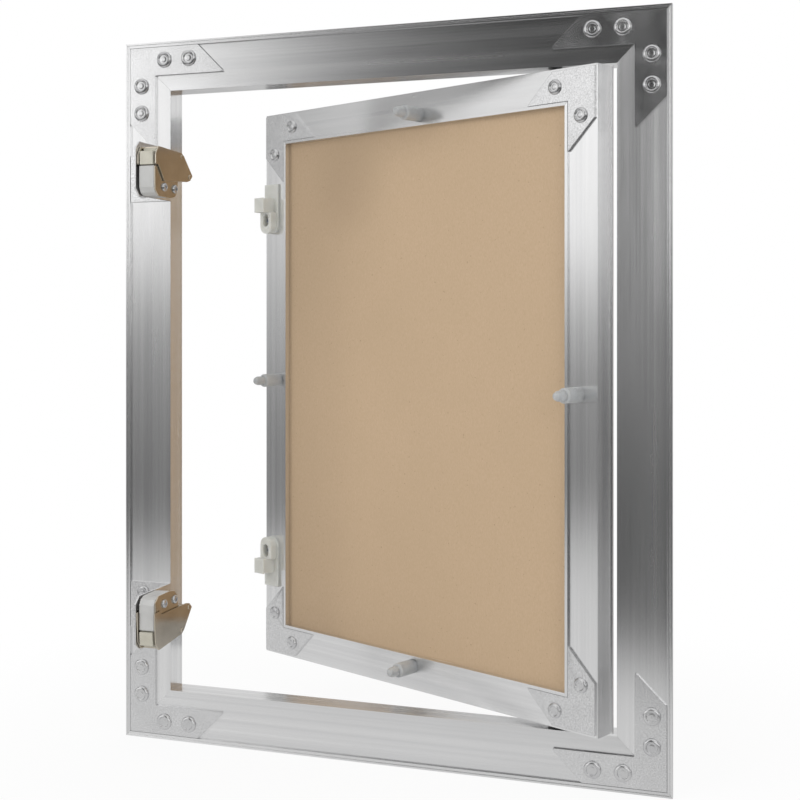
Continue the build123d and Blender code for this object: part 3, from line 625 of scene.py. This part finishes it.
def turn_door(points, angle):
    """Points turned about the hinge pins' upright axis."""
    c, s = math.cos(angle), math.sin(angle)
    x, y = points[:, 0] - PIVOT[0], points[:, 1] - PIVOT[1]
    return np.stack([PIVOT[0] + c * x - s * y, PIVOT[1] + s * x + c * y, points[:, 2]], axis=-1)


PIVOT = next(j for j in frame["record"]["behaviour"]["joints"] if j["name"] == "door_swing")["pos_m"]
print("turned surfaces ready, pivot", PIVOT)


# %% Rivets: a raised ring round a dished middle
def rivet_shape(head, height, shank_length, lean):
    """A button head with a dish, on a shank.

    The head is h(r) = H (1 - (r/R)^7)^(1/2) - D (1 - smooth(0.54R, 0.68R, r)) with a faint boss in
    the middle, and its dish is off centre by a little, since no rivet is set quite straight.
    """
    steps = 64
    angle = np.linspace(0.0, 2.0 * np.pi, steps, endpoint=False)[None, :]
    r = head * np.concatenate([np.linspace(0.03, 0.9, 30), 1.0 - 0.1 * (1.0 - np.linspace(0.0, 1.0, 10)[1:]) ** 2])[:, None]
    seen = r * (1.0 + 0.06 * np.cos(angle - lean))
    dome = height * np.sqrt(np.clip(1.0 - (r / head) ** 7, 0.0, 1.0))
    dish = 0.46 * height * (1.0 - smooth(0.54 * head, 0.68 * head, seen))
    boss = 0.07 * height * (1.0 - smooth(0.20 * head, 0.44 * head, seen))
    top = dome - dish + boss
    shank = 0.48 * head
    rings = np.concatenate([r * np.ones_like(angle), np.full((2, steps), shank)])
    heights = np.concatenate([top, np.zeros((1, steps)), np.full((1, steps), -shank_length)])
    return turned_surface(rings, heights)


def rivets_for(node_name, head, height, body, turned_with_door, finish):
    """One piece with every rivet of a CAD node."""
    points = corners_of(nodes[node_name])
    if turned_with_door:
        points = turn_door(points, -DOOR_TURN)
    back, front = points[:, 1].min(), points[:, 1].max()
    seat = back + height
    all_points, all_faces, count = [], [], 0
    for number, middle in enumerate(clusters(points, [0, 2], 4 * MM)):
        shape, faces = rivet_shape(head, height, front - seat, 2.4 * number)
        placed = shape * (1.0, -1.0, 1.0) + (middle[0], seat, middle[2])
        all_points.append(placed)
        all_faces += [[i + count for i in face] for face in faces]
        count += len(placed)
    placed = np.concatenate(all_points)
    if turned_with_door:
        placed = turn_door(placed, DOOR_TURN)
    return new_piece(node_name + "_formed", placed, all_faces, finish, body, "rivet_aluminium", node_name)


RIVET_HEIGHT = 1.7 * MM
rivets_for("frame_corner_rivets", 5.2 * MM, RIVET_HEIGHT, "frame", False, rivet_metal)
rivets_for("door_corner_rivets", 4.5 * MM, RIVET_HEIGHT, "door", True, rivet_metal)
for half in ("upper", "lower"):
    rivets_for(half + "_latch_bracket_rivets", 4.5 * MM, RIVET_HEIGHT, "frame", False, rivet_metal)
print("rivets")


# %% Screws: a domed head with a cross recess
def screw_shape(head, height, shank, length, spin):
    """A pan head with a cross recess, on a plain shank with a short point.

    The head is h(r) = H (1 - (r/R)^3.2)^(1/2), less a cross whose arms are smooth bars along two
    lines at right angles: 1 - smooth(0.13R, 0.20R, |t|), ended at 0.62R.
    """
    steps = 96
    angle = np.linspace(0.0, 2.0 * np.pi, steps, endpoint=False)[None, :]
    r = head * np.concatenate([np.linspace(0.02, 0.9, 34), 1.0 - 0.1 * (1.0 - np.linspace(0.0, 1.0, 9)[1:]) ** 2])[:, None]
    u, v = r * np.cos(angle - spin), r * np.sin(angle - spin)
    bar_u = 1.0 - smooth(0.13 * head, 0.20 * head, np.abs(u))
    bar_v = 1.0 - smooth(0.13 * head, 0.20 * head, np.abs(v))
    cross = np.maximum(bar_u, bar_v) * (1.0 - smooth(0.52 * head, 0.66 * head, r))
    dome = height * np.sqrt(np.clip(1.0 - (r / head) ** 3.2, 0.0, 1.0))
    top = dome - 0.62 * height * cross
    rings = np.concatenate([r * np.ones_like(angle), np.full((2, steps), shank), np.full((1, steps), 0.02 * shank)])
    heights = np.concatenate([top, np.zeros((1, steps)), np.full((1, steps), -length), np.full((1, steps), -length - 0.001 * MM)])
    return turned_surface(rings, heights)


def latch_screws_for(node_name, body):
    """Both screws of a latch, with their heads on the fixed cheek."""
    points = corners_of(nodes[node_name])
    end, seat = points[:, 0].min(), points[:, 0].max() - 1.2 * MM
    all_points, all_faces, count = [], [], 0
    for number, middle in enumerate(clusters(points, [1, 2], 2 * MM)):
        shape, faces = screw_shape(2.75 * MM, 1.7 * MM, 1.5 * MM, seat - end, 0.5 + 0.9 * number)
        placed = np.stack([seat + shape[:, 1], middle[1] + shape[:, 0], middle[2] + shape[:, 2]], axis=-1)
        all_points.append(placed)
        all_faces += [[i + count for i in reversed(face)] for face in faces]
        count += len(placed)
    return new_piece(node_name + "_formed", np.concatenate(all_points), all_faces, zinc_steel, body, "zinc_screw", node_name)


def striker_screw_for(node_name):
    """The screw in a striker's slot."""
    points = turn_door(corners_of(nodes[node_name]), -DOOR_TURN)
    middle = (points.min(axis=0) + points.max(axis=0)) / 2
    back, front = points[:, 1].min(), points[:, 1].max()
    height = 2.0 * MM
    shape, faces = screw_shape(2.7 * MM, height, 1.7 * MM, front - back - height, 0.6)
    placed = shape * (1.0, -1.0, 1.0) + (middle[0], back + height, middle[2])
    return new_piece(node_name + "_formed", turn_door(placed, DOOR_TURN), faces, zinc_steel, "door", "zinc_screw", node_name)


for half in ("upper", "lower"):
    latch_screws_for(half + "_latch_screws", "frame")
    striker_screw_for(half + "_striker_screw")
print("screws")

# %% End of the scene
print("scene ready")
